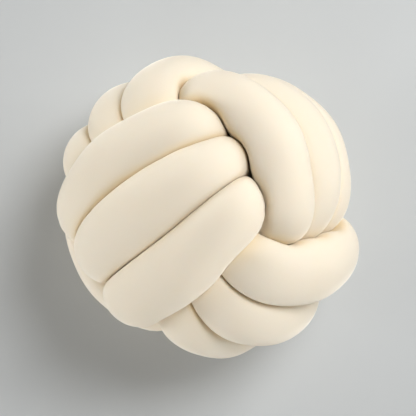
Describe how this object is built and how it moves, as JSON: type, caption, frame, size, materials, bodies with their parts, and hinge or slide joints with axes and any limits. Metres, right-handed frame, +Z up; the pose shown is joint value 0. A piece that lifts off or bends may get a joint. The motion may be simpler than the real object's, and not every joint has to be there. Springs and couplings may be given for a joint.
{
  "type": "knot cushion",
  "caption": "Round decorative cushion made of one long padded fabric tube tied into a ball knot, with parallel strands crossing over and under each other.",
  "frame": {"origin": "centre of the bounding box on the plane the cushion rests on", "axes": "+Z up; the cushion lies with the meeting of three strand groups uppermost, one group running towards +X and +Y, one lying towards +X and one towards -Y"},
  "size_m": [0.266, 0.2726, 0.2609],
  "materials": {
    "cream_fabric": "soft short-pile cream fabric, matt with a faint pale sheen at the edges"
  },
  "bodies": {
    "root": {"knotted_tube": "cream_fabric"}
  },
  "joints": []
}
